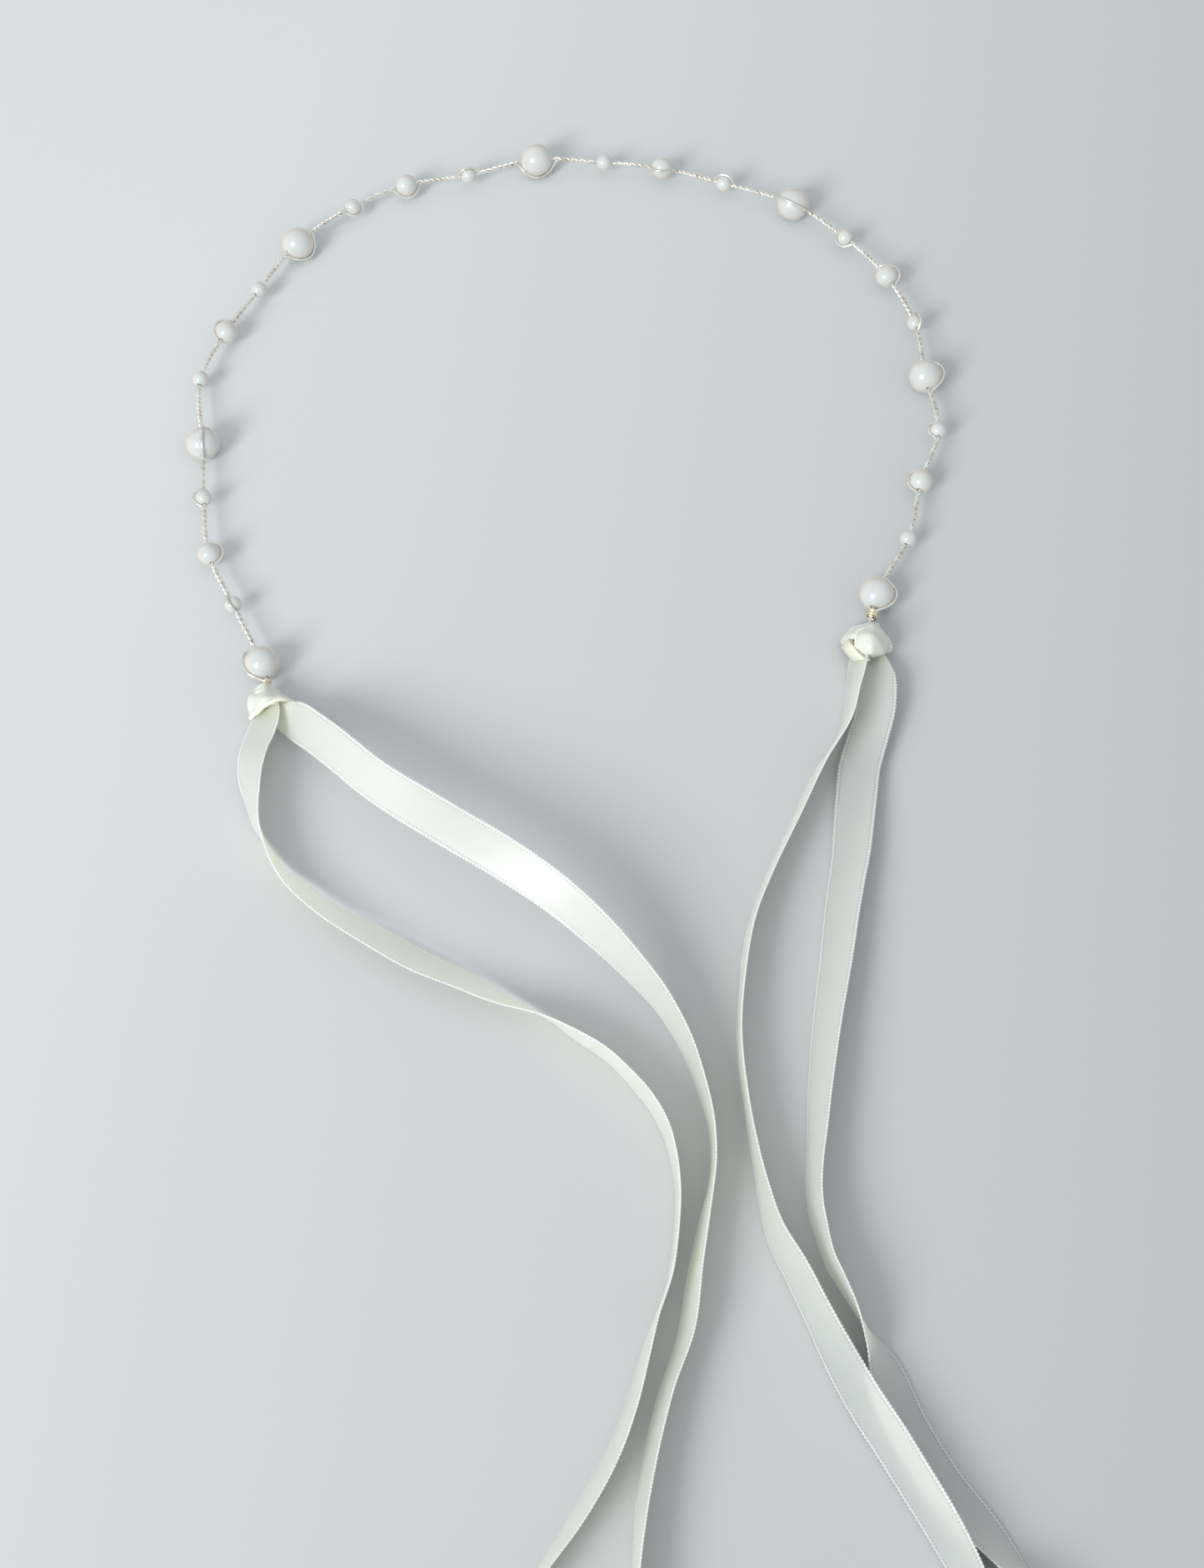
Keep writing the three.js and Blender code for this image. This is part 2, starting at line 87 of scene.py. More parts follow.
# The ribbon tails. gathered is the share of its width that a tail has where it leaves the knot, and how far
# along it the width is whole. body is what it rides on, and side is the side that it coils to, 1 for the
# right. route is its middle line from the knot on: x, y, z, and the roll in degrees, which is the angle of
# the edge on the right-hand side of somebody who walks along it, 0 level and 90 straight up.
TAILS = {
    "left_tail_outer": {
        "gathered": (0.45, 0.009),
        "body": "left_ribbon",
        "side": 1,
        "route": [
            (-0.0634, -0.0853, 0.0041, -50), (-0.0618, -0.0872, 0.0046, -47), (-0.0598, -0.0888, 0.0056, -46),
            (-0.0577, -0.0908, 0.007, -47), (-0.0551, -0.0938, 0.0087, -48), (-0.0492, -0.1004, 0.0112, -45),
            (-0.04, -0.11, 0.013, -42),
            (-0.025, -0.122, 0.015, -28), (-0.012, -0.131, 0.015, -36), (-0.001, -0.139, 0.0135, -48),
            (0.008, -0.147, 0.0115, -60), (0.014, -0.153, 0.0095, -70), (0.02, -0.16, 0.0075, -78),
            (0.025, -0.169, 0.0058, -82), (0.028, -0.178, 0.0049, -85), (0.03, -0.188, 0.0048, -87),
            (0.03, -0.197, 0.0048, -84), (0.028, -0.208, 0.0047, -76), (0.026, -0.219, 0.0046, -71),
            (0.024, -0.232, 0.0045, -67), (0.02, -0.244, 0.0045, -68), (0.017, -0.257, 0.0046, -71),
            (0.015, -0.27, 0.0047, -76), (0.014, -0.286, 0.0048, -88), (0.013, -0.303, 0.0048, -90),
        ],
    },
    "left_tail_inner": {
        "gathered": (0.78, 0.006),
        "body": "left_ribbon",
        "side": -1,
        "route": [
            (-0.0655, -0.0842, 0.0046, -38), (-0.0659, -0.0879, 0.0043, -36), (-0.0668, -0.0925, 0.0044, -34),
            (-0.0677, -0.097, 0.005, -38), (-0.0678, -0.102, 0.0055, -47),
            (-0.067, -0.108, 0.006, -64), (-0.066, -0.114, 0.0054, -80), (-0.064, -0.119, 0.005, -98),
            (-0.06, -0.126, 0.0046, -118), (-0.056, -0.131, 0.0046, -130), (-0.049, -0.137, 0.0043, -138),
            (-0.038, -0.144, 0.004, -147), (-0.03, -0.149, 0.004, -148), (-0.022, -0.153, 0.004, -143),
            (-0.013, -0.158, 0.0043, -133), (-0.004, -0.1625, 0.0047, -115), (0.002, -0.1665, 0.0048, -103),
            (0.009, -0.1715, 0.0048, -98), (0.014, -0.177, 0.0048, -94), (0.018, -0.1825, 0.0048, -91),
            (0.021, -0.189, 0.0048, -88), (0.0225, -0.196, 0.0048, -87), (0.023, -0.203, 0.0048, -86),
            (0.0225, -0.211, 0.0048, -84), (0.021, -0.221, 0.0048, -82), (0.018, -0.23, 0.0048, -79),
            (0.016, -0.237, 0.0047, -74), (0.013, -0.248, 0.0046, -69), (0.009, -0.258, 0.0045, -63),
            (0.003, -0.269, 0.0045, -62), (-0.004, -0.28, 0.0046, -70), (-0.01, -0.291, 0.0048, -82),
            (-0.013, -0.303, 0.0048, -90),
        ],
    },
    "right_tail_inner": {
        "gathered": (0.6, 0.01),
        "body": "right_ribbon",
        "side": -1,
        "route": [
            (0.0652, -0.0694, 0.0032, -45), (0.0647, -0.073, 0.0038, -58), (0.0633, -0.0805, 0.0046, -70),
            (0.061, -0.09, 0.0048, -73),
            (0.055, -0.101, 0.0047, -72), (0.049, -0.115, 0.0047, -73), (0.043, -0.129, 0.0047, -75),
            (0.039, -0.141, 0.0048, -79), (0.037, -0.154, 0.0048, -84), (0.036, -0.168, 0.0048, -87),
            (0.037, -0.182, 0.0048, -89), (0.0385, -0.194, 0.0048, -86), (0.04, -0.203, 0.0047, -80),
            (0.042, -0.211, 0.0046, -74), (0.046, -0.2195, 0.0045, -67), (0.05, -0.229, 0.0043, -62),
            (0.054, -0.238, 0.004, -54), (0.058, -0.246, 0.0039, -50), (0.062, -0.253, 0.0039, -49),
            (0.066, -0.2605, 0.0039, -50), (0.0705, -0.269, 0.0039, -52), (0.075, -0.279, 0.0043, -60),
            (0.079, -0.29, 0.0047, -76), (0.0805, -0.304, 0.0048, -90), (0.0805, -0.324, 0.0048, -90),
            (0.08, -0.343, 0.0048, -90),
        ],
    },
    "right_tail_outer": {
        "gathered": (0.5, 0.01),
        "body": "right_ribbon",
        "side": 1,
        "route": [
            (0.0682, -0.0692, 0.0026, -14), (0.0685, -0.0722, 0.003, -16), (0.0687, -0.078, 0.0034, -18),
            (0.068, -0.085, 0.0033, -16),
            (0.066, -0.092, 0.0028, -9), (0.064, -0.099, 0.0025, -6), (0.063, -0.106, 0.0024, -12),
            (0.062, -0.114, 0.0025, -20), (0.061, -0.122, 0.0028, -27), (0.0595, -0.13, 0.0031, -32),
            (0.058, -0.139, 0.0033, -37), (0.0565, -0.149, 0.0036, -42), (0.054, -0.164, 0.004, -50),
            (0.052, -0.179, 0.0043, -59), (0.051, -0.189, 0.0045, -66), (0.05, -0.198, 0.0047, -71),
            (0.05, -0.205, 0.0048, -76), (0.051, -0.211, 0.0048, -81), (0.0525, -0.217, 0.0048, -87),
            (0.0548, -0.222, 0.0048, -92), (0.0575, -0.228, 0.0047, -100), (0.06, -0.2335, 0.0044, -120),
            (0.0622, -0.239, 0.003, -146), (0.065, -0.2475, 0.002, -160), (0.0683, -0.2545, 0.0018, -163),
            (0.0723, -0.2615, 0.0018, -163), (0.077, -0.268, 0.0022, -158), (0.083, -0.277, 0.0035, -135),
            (0.0885, -0.288, 0.0047, -105), (0.091, -0.303, 0.0048, -90),
        ],
    },
}

# Where the binding strand goes round each pearl, from the left end on, in degrees about the band: 0 is the
# outside of the crown, 90 the top, 180 the side of the head.
BINDING_SIDE = [
    15, 62, 172, 8, 92, -65, 25, -60, 210, 208, 215, 88, 218, -62, 150, 72, 130, 210, 15,
    65, 15, 174, 178, -65, 5,
]

# Camera


def add_camera():
    """A camera that looks down at the crown from the side of the ribbons, 34 degrees from straight down."""
    tilt = math.radians(34)
    distance = 0.639
    aim = Vector((0.008, -0.102, 0))
    data = bpy.data.cameras.new("camera")
    data.sensor_width = 36
    data.lens = 67.47
    data.clip_start, data.clip_end = 0.01, 20
    camera = bpy.data.objects.new("camera", data)
    camera.rotation_euler = (tilt, 0, 0)
    camera.location = aim + distance * Vector((0, -math.sin(tilt), math.cos(tilt)))
    bpy.context.scene.collection.objects.link(camera)
    bpy.context.scene.camera = camera


# Curves and meshes


def unit(vectors):
    return vectors / np.maximum(np.linalg.norm(vectors, axis=-1, keepdims=True), 1e-12)


def smooth(points, steps):
    """Points on a centripetal Catmull-Rom curve through these, with this many steps between two of them.

    The first three columns are the place. The others are carried along with it.
    """
    points = np.asarray(points, float)
    through = np.vstack([2 * points[0] - points[1], points, 2 * points[-1] - points[-2]])
    t = np.linspace(0, 1, steps, endpoint=False)[:, None]
    made = []
    for a, b, c, d in zip(through, through[1:], through[2:], through[3:]):
        first, middle, last = (math.sqrt(np.linalg.norm(v[:3])) for v in (b - a, c - b, d - c))
        out = ((b - a) / first - (c - a) / (first + middle) + (c - b) / middle) * middle
        into = ((c - b) / middle - (d - b) / (middle + last) + (d - c) / last) * middle
        made.append(b + out * t + (3 * (c - b) - 2 * out - into) * t**2 + (2 * (b - c) + out + into) * t**3)
    return np.vstack([*made, points[-1:]])


def lengths_along(line):
    return np.concatenate([[0], np.cumsum(np.linalg.norm(np.diff(line[:, :3], axis=0), axis=1))])


def resample(line, step):
    """The line again, in even steps of about this length."""
    along = lengths_along(line)
    at = np.linspace(0, along[-1], round(along[-1] / step) + 1)
    return np.column_stack([np.interp(at, along, column) for column in line.T])


def eased(line, passes):
    """The line with its corners rounded by averaging each point with its neighbours."""
    for _ in range(passes):
        line[1:-1] = (line[:-2] + 2 * line[1:-1] + line[2:]) / 4
    return line


def tangents_of(line):
    return unit(np.gradient(line[:, :3], axis=0))


def loft(rings, capped=True):
    """The points and faces of a skin over rings of points. Its faces look out."""
    count, around = rings.shape[:2]
    near = (np.arange(count - 1)[:, None] * around + np.arange(around)).ravel()
    turned = (np.arange(count - 1)[:, None] * around + np.roll(np.arange(around), -1)).ravel()
    faces = np.stack([near, turned, turned + around, near + around], axis=1).tolist()
    if capped:
        faces.append(list(range(around))[::-1])
        faces.append(list(range((count - 1) * around, count * around)))
    points = rings.reshape(-1, 3)
    corners = np.array([face[:3] for face in faces[: (count - 1) * around]])
    a, b, c = (points[corners[:, k]] - points.mean(axis=0) for k in range(3))
    if (a * np.cross(b, c)).sum() < 0:
        faces = [face[::-1] for face in faces]
    return points, faces


def add_piece(name, points, faces, material, body, replaced=(), uv=None):
    """A smooth mesh that rides on a CAD body, in the place of some CAD nodes. uv is two numbers a point."""
    mesh = bpy.data.meshes.new(name)
    mesh.from_pydata(np.asarray(points).tolist(), [], faces)
    mesh.shade_smooth()
    mesh.materials.append(material)
    if uv is not None:
        corner_points = np.zeros(len(mesh.loops), np.int32)
        mesh.loops.foreach_get("vertex_index", corner_points)
        layer = mesh.uv_layers.new(name="ribbon")
        layer.data.foreach_set("uv", np.asarray(uv)[corner_points].astype(np.float32).ravel())
    piece = bpy.data.objects.new(name, mesh)
    bpy.context.scene.collection.objects.link(piece)
    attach(piece, body)
    if replaced:
        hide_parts(*replaced)
    return piece


def tube(line, radius, sides=12):
    """The rings of a round tube along a line, without twist. radius is one number, or one for each point."""
    line = np.asarray(line, float)
    tangents = tangents_of(line)
    aside = unit(np.cross(tangents[0], UP if abs(tangents[0][2]) < 0.9 else [1.0, 0, 0]))
    asides = []
    for tangent in tangents:
        aside = unit(aside - tangent * (aside @ tangent))
        asides.append(aside)
    asides = np.array(asides)[:, None]
    lifts = np.cross(tangents, asides[:, 0])[:, None]
    angles = np.linspace(0, 2 * math.pi, sides, endpoint=False)[None, :, None]
    radii = np.broadcast_to(radius, len(line))[:, None, None]
    return line[:, None] + radii * (np.cos(angles) * asides + np.sin(angles) * lifts)


def round_ended(line, radius):
    """The rings of a tube whose two ends are rounded off."""
    along = lengths_along(line)
    from_end = np.minimum(along, along[-1] - along)
    share = np.clip(from_end / radius, 0.02, 1)
    return tube(line, radius * np.sqrt(1 - (1 - share) ** 2))


# Materials


def new_material(name, settings):
    """A material, its node tree and its Principled shader, with these values on the shader's sockets."""
    material = bpy.data.materials.new(name)
    material.use_nodes = True
    shader = next(n for n in material.node_tree.nodes if n.type == "BSDF_PRINCIPLED")
    for key, value in settings.items():
        shader.inputs[key].default_value = value
    return material, material.node_tree, shader


def fill_input(tree, socket, value):
    """A value for an input of a node, or a socket that is linked to it."""
    if isinstance(value, bpy.types.NodeSocket):
        tree.links.new(value, socket)
    else:
        socket.default_value = value


def add_node(tree, kind, inputs=None, **settings):
    """A node with these settings and inputs. Each input is a value, or a socket that is linked to it."""
    made = tree.nodes.new(kind)
    for key, value in settings.items():
        setattr(made, key, value)
    for key, value in (inputs or {}).items():
        fill_input(tree, made.inputs[key], value)
    return made


def calculate(tree, operation, *values, clamp=False):
    """The socket with the result of a sum on these values and sockets."""
    made = add_node(tree, "ShaderNodeMath", dict(enumerate(values)), operation=operation, use_clamp=clamp)
    return made.outputs[0]


def mix_colours(tree, share, first, second):
    """The socket with a mix of two colours. Each is red, green and blue, or a socket."""
    made = add_node(tree, "ShaderNodeMix", data_type="RGBA")
    fill_input(tree, made.inputs[0], share)
    for socket, colour in ((made.inputs[6], first), (made.inputs[7], second)):
        fill_input(tree, socket, colour if isinstance(colour, bpy.types.NodeSocket) else (*colour, 1))
    return made.outputs[2]


def noise(tree, place, scale, detail=2.0, roughness=0.5):
    inputs = {"Vector": place, "Scale": scale, "Detail": detail, "Roughness": roughness}
    return add_node(tree, "ShaderNodeTexNoise", inputs).outputs["Fac"]


def set_bump(tree, shader, height, distance, strength):
    bump = add_node(tree, "ShaderNodeBump", {"Height": height, "Distance": distance, "Strength": strength})
    tree.links.new(bump.outputs["Normal"], shader.inputs["Normal"])


def satin_material(name, through, pale, creamy):
    """Ivory satin: warp floats along the ribbon, fine picks across it, and a corded edge.

    through is how much light goes through the cloth, and pale and creamy are its two colours.
    """
    material, tree, shader = new_material(
        name,
        {"Roughness": 0.42, "Specular IOR Level": 0.9, "Anisotropic": 0.6, "Sheen Weight": 0.15,
         "Sheen Roughness": 0.4, "Subsurface Weight": through, "Subsurface Scale": 0.003 * through**2},
    )
    shader.inputs["Subsurface Radius"].default_value = (1.0, 0.9, 0.7)
    shader.inputs["Sheen Tint"].default_value = (0.96, 1.0, 0.95, 1)
    uv = add_node(tree, "ShaderNodeUVMap", uv_map="ribbon").outputs["UV"]
    parts = add_node(tree, "ShaderNodeSeparateXYZ", {"Vector": uv})
    along = calculate(tree, "MULTIPLY", parts.outputs["X"], 1000.0)
    across = calculate(tree, "MULTIPLY", parts.outputs["Y"], 1000.0)
    stretched = add_node(tree, "ShaderNodeCombineXYZ", {
        "X": calculate(tree, "MULTIPLY", along, 0.7), "Y": calculate(tree, "MULTIPLY", across, 9.0)})
    floats = noise(tree, stretched.outputs[0], 1.0, 3.0, 0.6)
    narrowed = add_node(tree, "ShaderNodeCombineXYZ", {
        "X": along, "Y": calculate(tree, "MULTIPLY", across, 0.05)}).outputs[0]
    picks = add_node(tree, "ShaderNodeTexWave", {
        "Vector": narrowed, "Scale": 1.6, "Distortion": 0.6, "Detail": 1.0}).outputs["Fac"]
    flat = add_node(tree, "ShaderNodeCombineXYZ", {"X": along, "Y": across}).outputs[0]
    cloudy = noise(tree, flat, 0.12, 2.0)
    from_middle = calculate(tree, "ABSOLUTE", across)
    edge = calculate(tree, "SUBTRACT", from_middle, EDGE_START)
    edge = calculate(tree, "MULTIPLY", edge, 12.0, clamp=True)
    face = mix_colours(tree, floats, [0.9 * part for part in pale], pale)
    face = mix_colours(tree, calculate(tree, "MULTIPLY", cloudy, 0.35), face, creamy)
    # Painted warm glow: the first 7.7 mm of a ribbon is painted warmer, for the light that a knot's hollow
    # throws on itself.
    painted_glow = calculate(tree, "MULTIPLY_ADD", parts.outputs["X"], -130.0, 1.0, clamp=True)
    face = mix_colours(tree, calculate(tree, "MULTIPLY", painted_glow, 0.6), face, (0.78, 0.71, 0.47))
    colour = mix_colours(tree, calculate(tree, "MULTIPLY", edge, 0.85), face, (0.92, 0.90, 0.79))
    # Painted shade: the row of holes beside each woven edge is painted as dark dots.
    loops = calculate(tree, "SINE", calculate(tree, "MULTIPLY", along, 2 * math.pi / (PICOT / MM)))
    beside = calculate(tree, "COMPARE", from_middle, HOLE_MIDDLE, HOLE_HALF)
    holes = calculate(tree, "MULTIPLY", beside, calculate(tree, "GREATER_THAN", loops, 0.25))
    colour = mix_colours(tree, calculate(tree, "MULTIPLY", holes, 0.6), colour, (0.36, 0.37, 0.31))
    tree.links.new(colour, shader.inputs["Base Color"])
    rough = calculate(tree, "MULTIPLY_ADD", floats, 0.16, 0.34)
    tree.links.new(calculate(tree, "MULTIPLY_ADD", edge, 0.2, rough), shader.inputs["Roughness"])
    height = calculate(tree, "MULTIPLY_ADD", picks, 0.25, floats)
    set_bump(tree, shader, height, 0.03 * MM, 0.35)
    tangent = add_node(tree, "ShaderNodeTangent", direction_type="UV_MAP", uv_map="ribbon")
    tree.links.new(tangent.outputs["Tangent"], shader.inputs["Tangent"])
    return material


def pearl_material():
    """Pearl lacquer: a soft ivory body with faint clouds, under a clear coat."""
    material, tree, shader = new_material(
        "pearl_lacquer",
        {"Roughness": 0.3, "Specular IOR Level": 1.0, "Coat Weight": 1.0, "Coat Roughness": 0.06,
         "Coat IOR": 1.7, "Sheen Weight": 0.7, "Sheen Roughness": 0.25, "Subsurface Weight": 0.25,
         "Subsurface Scale": 0.0015, "Thin Film Thickness": 320.0, "Thin Film IOR": 1.45},
    )
    shader.inputs["Subsurface Radius"].default_value = (1.0, 0.95, 0.85)
    shader.inputs["Sheen Tint"].default_value = (1.0, 0.96, 0.88, 1)
    place = add_node(tree, "ShaderNodeTexCoord").outputs["Object"]
    clouds = noise(tree, place, 260.0, 3.0, 0.55)
    grains = noise(tree, place, 2600.0, 2.0)
    body = mix_colours(tree, clouds, (0.55, 0.61, 0.59), (0.67, 0.65, 0.575))
    tree.links.new(body, shader.inputs["Base Color"])
    tree.links.new(calculate(tree, "MULTIPLY_ADD", clouds, 0.14, 0.22), shader.inputs["Roughness"])
    set_bump(tree, shader, calculate(tree, "MULTIPLY_ADD", grains, 0.3, clouds), 0.05 * MM, 0.12)
    return material


def wire_material(name, bright, deep):
    """Plated wire, with fine scratches and random darker patches: painted shade for the dark gaps of the
    twist.
    """
    material, tree, shader = new_material(name, {"Metallic": 1.0, "Roughness": 0.28})
    place = add_node(tree, "ShaderNodeTexCoord").outputs["Object"]
    patches = noise(tree, place, 420.0, 3.0)
    scratches = noise(tree, place, 5200.0, 2.0)
    # Painted shade: random darker patches, which stand in for the dark gaps between the strands' glints.
    painted_dark_patches = calculate(tree, "MULTIPLY_ADD", patches, 3.0, -1.15, clamp=True)
    colour = mix_colours(tree, calculate(tree, "MULTIPLY", painted_dark_patches, 0.8), bright, deep)
    tree.links.new(colour, shader.inputs["Base Color"])
    tree.links.new(calculate(tree, "MULTIPLY_ADD", scratches, 0.2, 0.07), shader.inputs["Roughness"])
    set_bump(tree, shader, scratches, 0.01 * MM, 0.3)
    return material


def floor_material():
    """Matt card with a faint tooth, and painted shade that makes it a little darker towards the right and the
    front.
    """
    material, tree, shader = new_material("pale_card", {"Roughness": 0.85, "Specular IOR Level": 0.25})
    place = add_node(tree, "ShaderNodeTexCoord").outputs["Object"]
    parts = add_node(tree, "ShaderNodeSeparateXYZ", {"Vector": place})
    # Painted shade: darker towards the right and the front, for the light's fall-off across the card.
    share = calculate(tree, "MULTIPLY_ADD", parts.outputs["X"], 1.7, 0.18)
    share = calculate(tree, "MULTIPLY_ADD", parts.outputs["Y"], -0.55, share, clamp=True)
    tooth = noise(tree, place, 1500.0, 3.0)
    colour = mix_colours(tree, share, (0.650, 0.680, 0.694), (0.310, 0.330, 0.345))
    colour = mix_colours(tree, calculate(tree, "MULTIPLY", tooth, 0.08), colour, (0.50, 0.50, 0.52))
    tree.links.new(colour, shader.inputs["Base Color"])
    set_bump(tree, shader, tooth, 0.05 * MM, 0.15)
    return material


SATIN = satin_material("ivory_satin", 0.95, (0.66, 0.735, 0.62), (0.71, 0.72, 0.55))
KNOTTED_SATIN = satin_material("ivory_satin_knotted", 0.35, (0.69, 0.74, 0.685), (0.79, 0.76, 0.61))
NACRE = pearl_material()
CHAMPAGNE = wire_material("champagne_wire", (1.0, 0.985, 0.94), (0.66, 0.61, 0.52))
GOLD = wire_material("gold_wire", (0.94, 0.84, 0.64), (0.78, 0.66, 0.44))

# Ribbon tails

# Half of the ribbon's section: how far from the middle, as a share of half the width, and half the
# thickness there. The edge is a cord beside a shallow groove.
HALF_SECTION = [(0, 0.13), (0.4, 0.13), (0.8, 0.12), (0.87, 0.08), (0.91, 0.14), (0.96, 0.19), (1, 0)]


def ribbon_sides(line):
    """For each point of a line with rolls, the directions across the ribbon and out of its face."""
    tangents = tangents_of(line)
    right = unit(np.cross(tangents, UP))
    lift = np.cross(right, tangents)
    angle = np.radians(line[:, 3:4])
    width = unit(np.cos(angle) * right + np.sin(angle) * lift)
    return width, np.cross(tangents, width)


def ribbon_rings(middle, width, face, half_width, along):
    """The rings of a ribbon's section, and the place along and across the ribbon of each of their points."""
    shares, thick = (np.array(column) for column in zip(*HALF_SECTION))
    shares = np.concatenate([-shares[:0:-1], shares])
    thick = np.concatenate([thick[:0:-1], thick]) * MM
    across = np.concatenate([shares, shares[-2:0:-1]])
    up = np.concatenate([thick, -thick[-2:0:-1]])
    loop = np.abs(np.cos(math.pi * along / PICOT))[:, None]
    at_edge = np.clip((np.abs(across) - 0.9) * 10, 0, 1)[None]
    beyond = at_edge * PICOT_REACH * (loop - 0.5)
    reach = np.sign(across)[None] * (half_width[:, None] * np.abs(across) + beyond)
    lift = up[None] * (1 - 0.3 * at_edge * (1 - loop))
    rings = middle[:, None] + reach[..., None] * width[:, None] + lift[..., None] * face[:, None]
    uv = np.stack([np.broadcast_to(along[:, None], reach.shape), reach], axis=-1)
    return rings, uv.reshape(-1, 2)


def coil_line(end, side, length):
    """A flat spiral for a stretch of ribbon that stands on edge, from where a tail goes into its coil."""
    across = COIL_OUTER - COIL_PITCH / 2
    below = math.sqrt((COIL_OUTER + COIL_GAP + CAD_THICKNESS / 2) ** 2 - across**2)
    turns = np.linspace(0, 3, 1500)
    radius = across - COIL_PITCH * turns
    angle = (math.pi if side > 0 else 0) + side * 2 * math.pi * turns
    line = np.column_stack([
        end[0] + side * across + radius * np.cos(angle),
        end[1] - below + radius * np.sin(angle),
        np.full(len(turns), end[2]),
        np.full(len(turns), end[3]),
    ])
    return line[lengths_along(line) <= length]


def tail_line(route, side):
    """The whole length of a tail: out of the knot along its route, then into its coil."""
    seen = smooth(route, 40)
    coil = coil_line(seen[-1], side, TAIL_LENGTH)
    line = resample(np.vstack([seen[:-1], coil]), PICOT / PICOT_STEPS)
    return line[: round(TAIL_LENGTH / PICOT * PICOT_STEPS)]


def add_tail(name, gathered, body, side, route):
    line = tail_line(route, side)
    width, face = ribbon_sides(line)
    along = lengths_along(line)
    share = np.clip(along / gathered[1], 0, 1)
    half_width = RIBBON_WIDTH / 2 * (gathered[0] + (1 - gathered[0]) * share * (2 - share))
    rings, uv = ribbon_rings(line[:, :3], width, face, half_width, along)
    points, faces = loft(rings)
    tail = add_piece(name + "_ribbon", points, faces, SATIN, body, (name, name + "_coil"), uv)


add_camera()
for name, tail in TAILS.items():
    add_tail(name, **tail)

# The band's line


class Band:
    """The line through the pearls' middles, from the left knot's eyelet round to the right one's."""

    def __init__(self, middles):
        steps = 60
        fine = smooth(middles, steps)
        self.along = lengths_along(fine)
        self.fine = fine
        self.places = self.along[::steps]
        self.length = self.along[-1]
        self.tangents = tangents_of(fine)

    def frame_at(self, distances):
        """The points there, and the directions along the band and out of the crown."""
        point = np.column_stack([np.interp(distances, self.along, c) for c in self.fine.T])
        tangent = unit(np.column_stack([np.interp(distances, self.along, c) for c in self.tangents.T]))
        return point, tangent, unit(np.cross(UP, tangent))

    def beside(self, distances, offsets, angles):
        """Points beside the band, angles in radians about it from the outside of the crown over the top."""
        point, _, outward = self.frame_at(distances)
        return point + offsets[:, None] * (np.cos(angles)[:, None] * outward + np.sin(angles)[:, None] * UP)


JOINTS = {joint["name"]: joint for joint in frame["joints"]}
PEARLS = [f"pearl_{number + 1:02d}" for number in range(len(BINDING_SIDE))]
LEFT_KNOT = np.array(JOINTS["left_ribbon_swing"]["pos_m"])
RIGHT_KNOT = np.array(JOINTS["right_ribbon_swing"]["pos_m"])
PEARL_MIDDLES = [np.array(JOINTS["turn_" + name]["pos_m"]) for name in PEARLS]
BAND = Band([LEFT_KNOT, *PEARL_MIDDLES, RIGHT_KNOT])


def pearl_radius(name):
    """Half the pearl's height, which its bore along the level band doesn't shorten."""
    low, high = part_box(name)
    return (high.z - low.z) / 2


RADII = [pearl_radius(name) for name in PEARLS]

# Pearls


def add_pearl(index):
    """A drilled ball, a little out of round, with a soft edge where the bore comes out."""
    name, radius, middle = PEARLS[index], RADII[index], PEARL_MIDDLES[index]
    axis = np.array(JOINTS["turn_" + name]["axis"])
    around = 64
    pole = math.asin((BORE_RADIUS + BORE_LIP) / radius)
    latitudes = np.linspace(pole, math.pi - pole, 41)
    profile = np.column_stack([radius * np.sin(latitudes), -radius * np.cos(latitudes)])
    depth = radius * math.cos(pole)
    turn = np.linspace(math.pi / 2, 0, 5)[1:]
    share = np.linspace(0, 1, 5)[1:]
    edge = np.column_stack([BORE_RADIUS + BORE_LIP * (1 - np.cos(turn)), depth - BORE_LIP * share**1.5])
    inside = np.column_stack([np.full(3, BORE_RADIUS), np.linspace(edge[-1, 1], -edge[-1, 1], 5)[1:-1]])
    start = edge[::-1] * (1, -1)
    closed = np.vstack([start, profile, edge, inside])
    angles = np.linspace(0, 2 * math.pi, around, endpoint=False)
    aside = unit(np.cross(axis, UP))
    lift = np.cross(aside, axis)
    directions = np.cos(angles)[:, None] * aside + np.sin(angles)[:, None] * lift
    rings = middle + closed[None, :, :1] * directions[:, None] + closed[None, :, 1:] * axis
    points, faces = loft(np.concatenate([rings, rings[:1]]), capped=False)
    count = around * len(closed)
    faces = [[point % count for point in face] for face in faces]
    out = points[:count] - middle
    wobble = 1 + OUT_OF_ROUND * np.sin(out @ np.array([900.0, 700, 500]) + index)
    add_piece(name + "_ball", middle + out * wobble[:, None], faces, NACRE, name, (name,))


for index in range(len(PEARLS)):
    add_pearl(index)

# Wires


def twist_start(radius):
    """How far from a pearl's middle the two strands meet, and where the binding strand leaves its bow."""
    return radius + 0.5 * MM + 0.14 * radius


def bow_offsets(radius, distances):
    """How far from the band's line a strand is that is pulled taut over a pearl."""
    ball = 1.012 * radius + WIRE / 2 + BOW_GAP  # the band's bend brings the strand 1% nearer
    meet = twist_start(radius)
    away = math.hypot(meet, TWIST_RADIUS)
    touch = math.acos(ball / away) + math.atan2(TWIST_RADIUS, meet)
    side, height = ball * math.cos(touch), ball * math.sin(touch)
    slope = (height - TWIST_RADIUS) / (meet - side)
    straight = TWIST_RADIUS + slope * (meet - np.abs(distances))
    over = np.sqrt(np.maximum(ball**2 - distances**2, 0))
    return np.where(np.abs(distances) > side, straight, over)


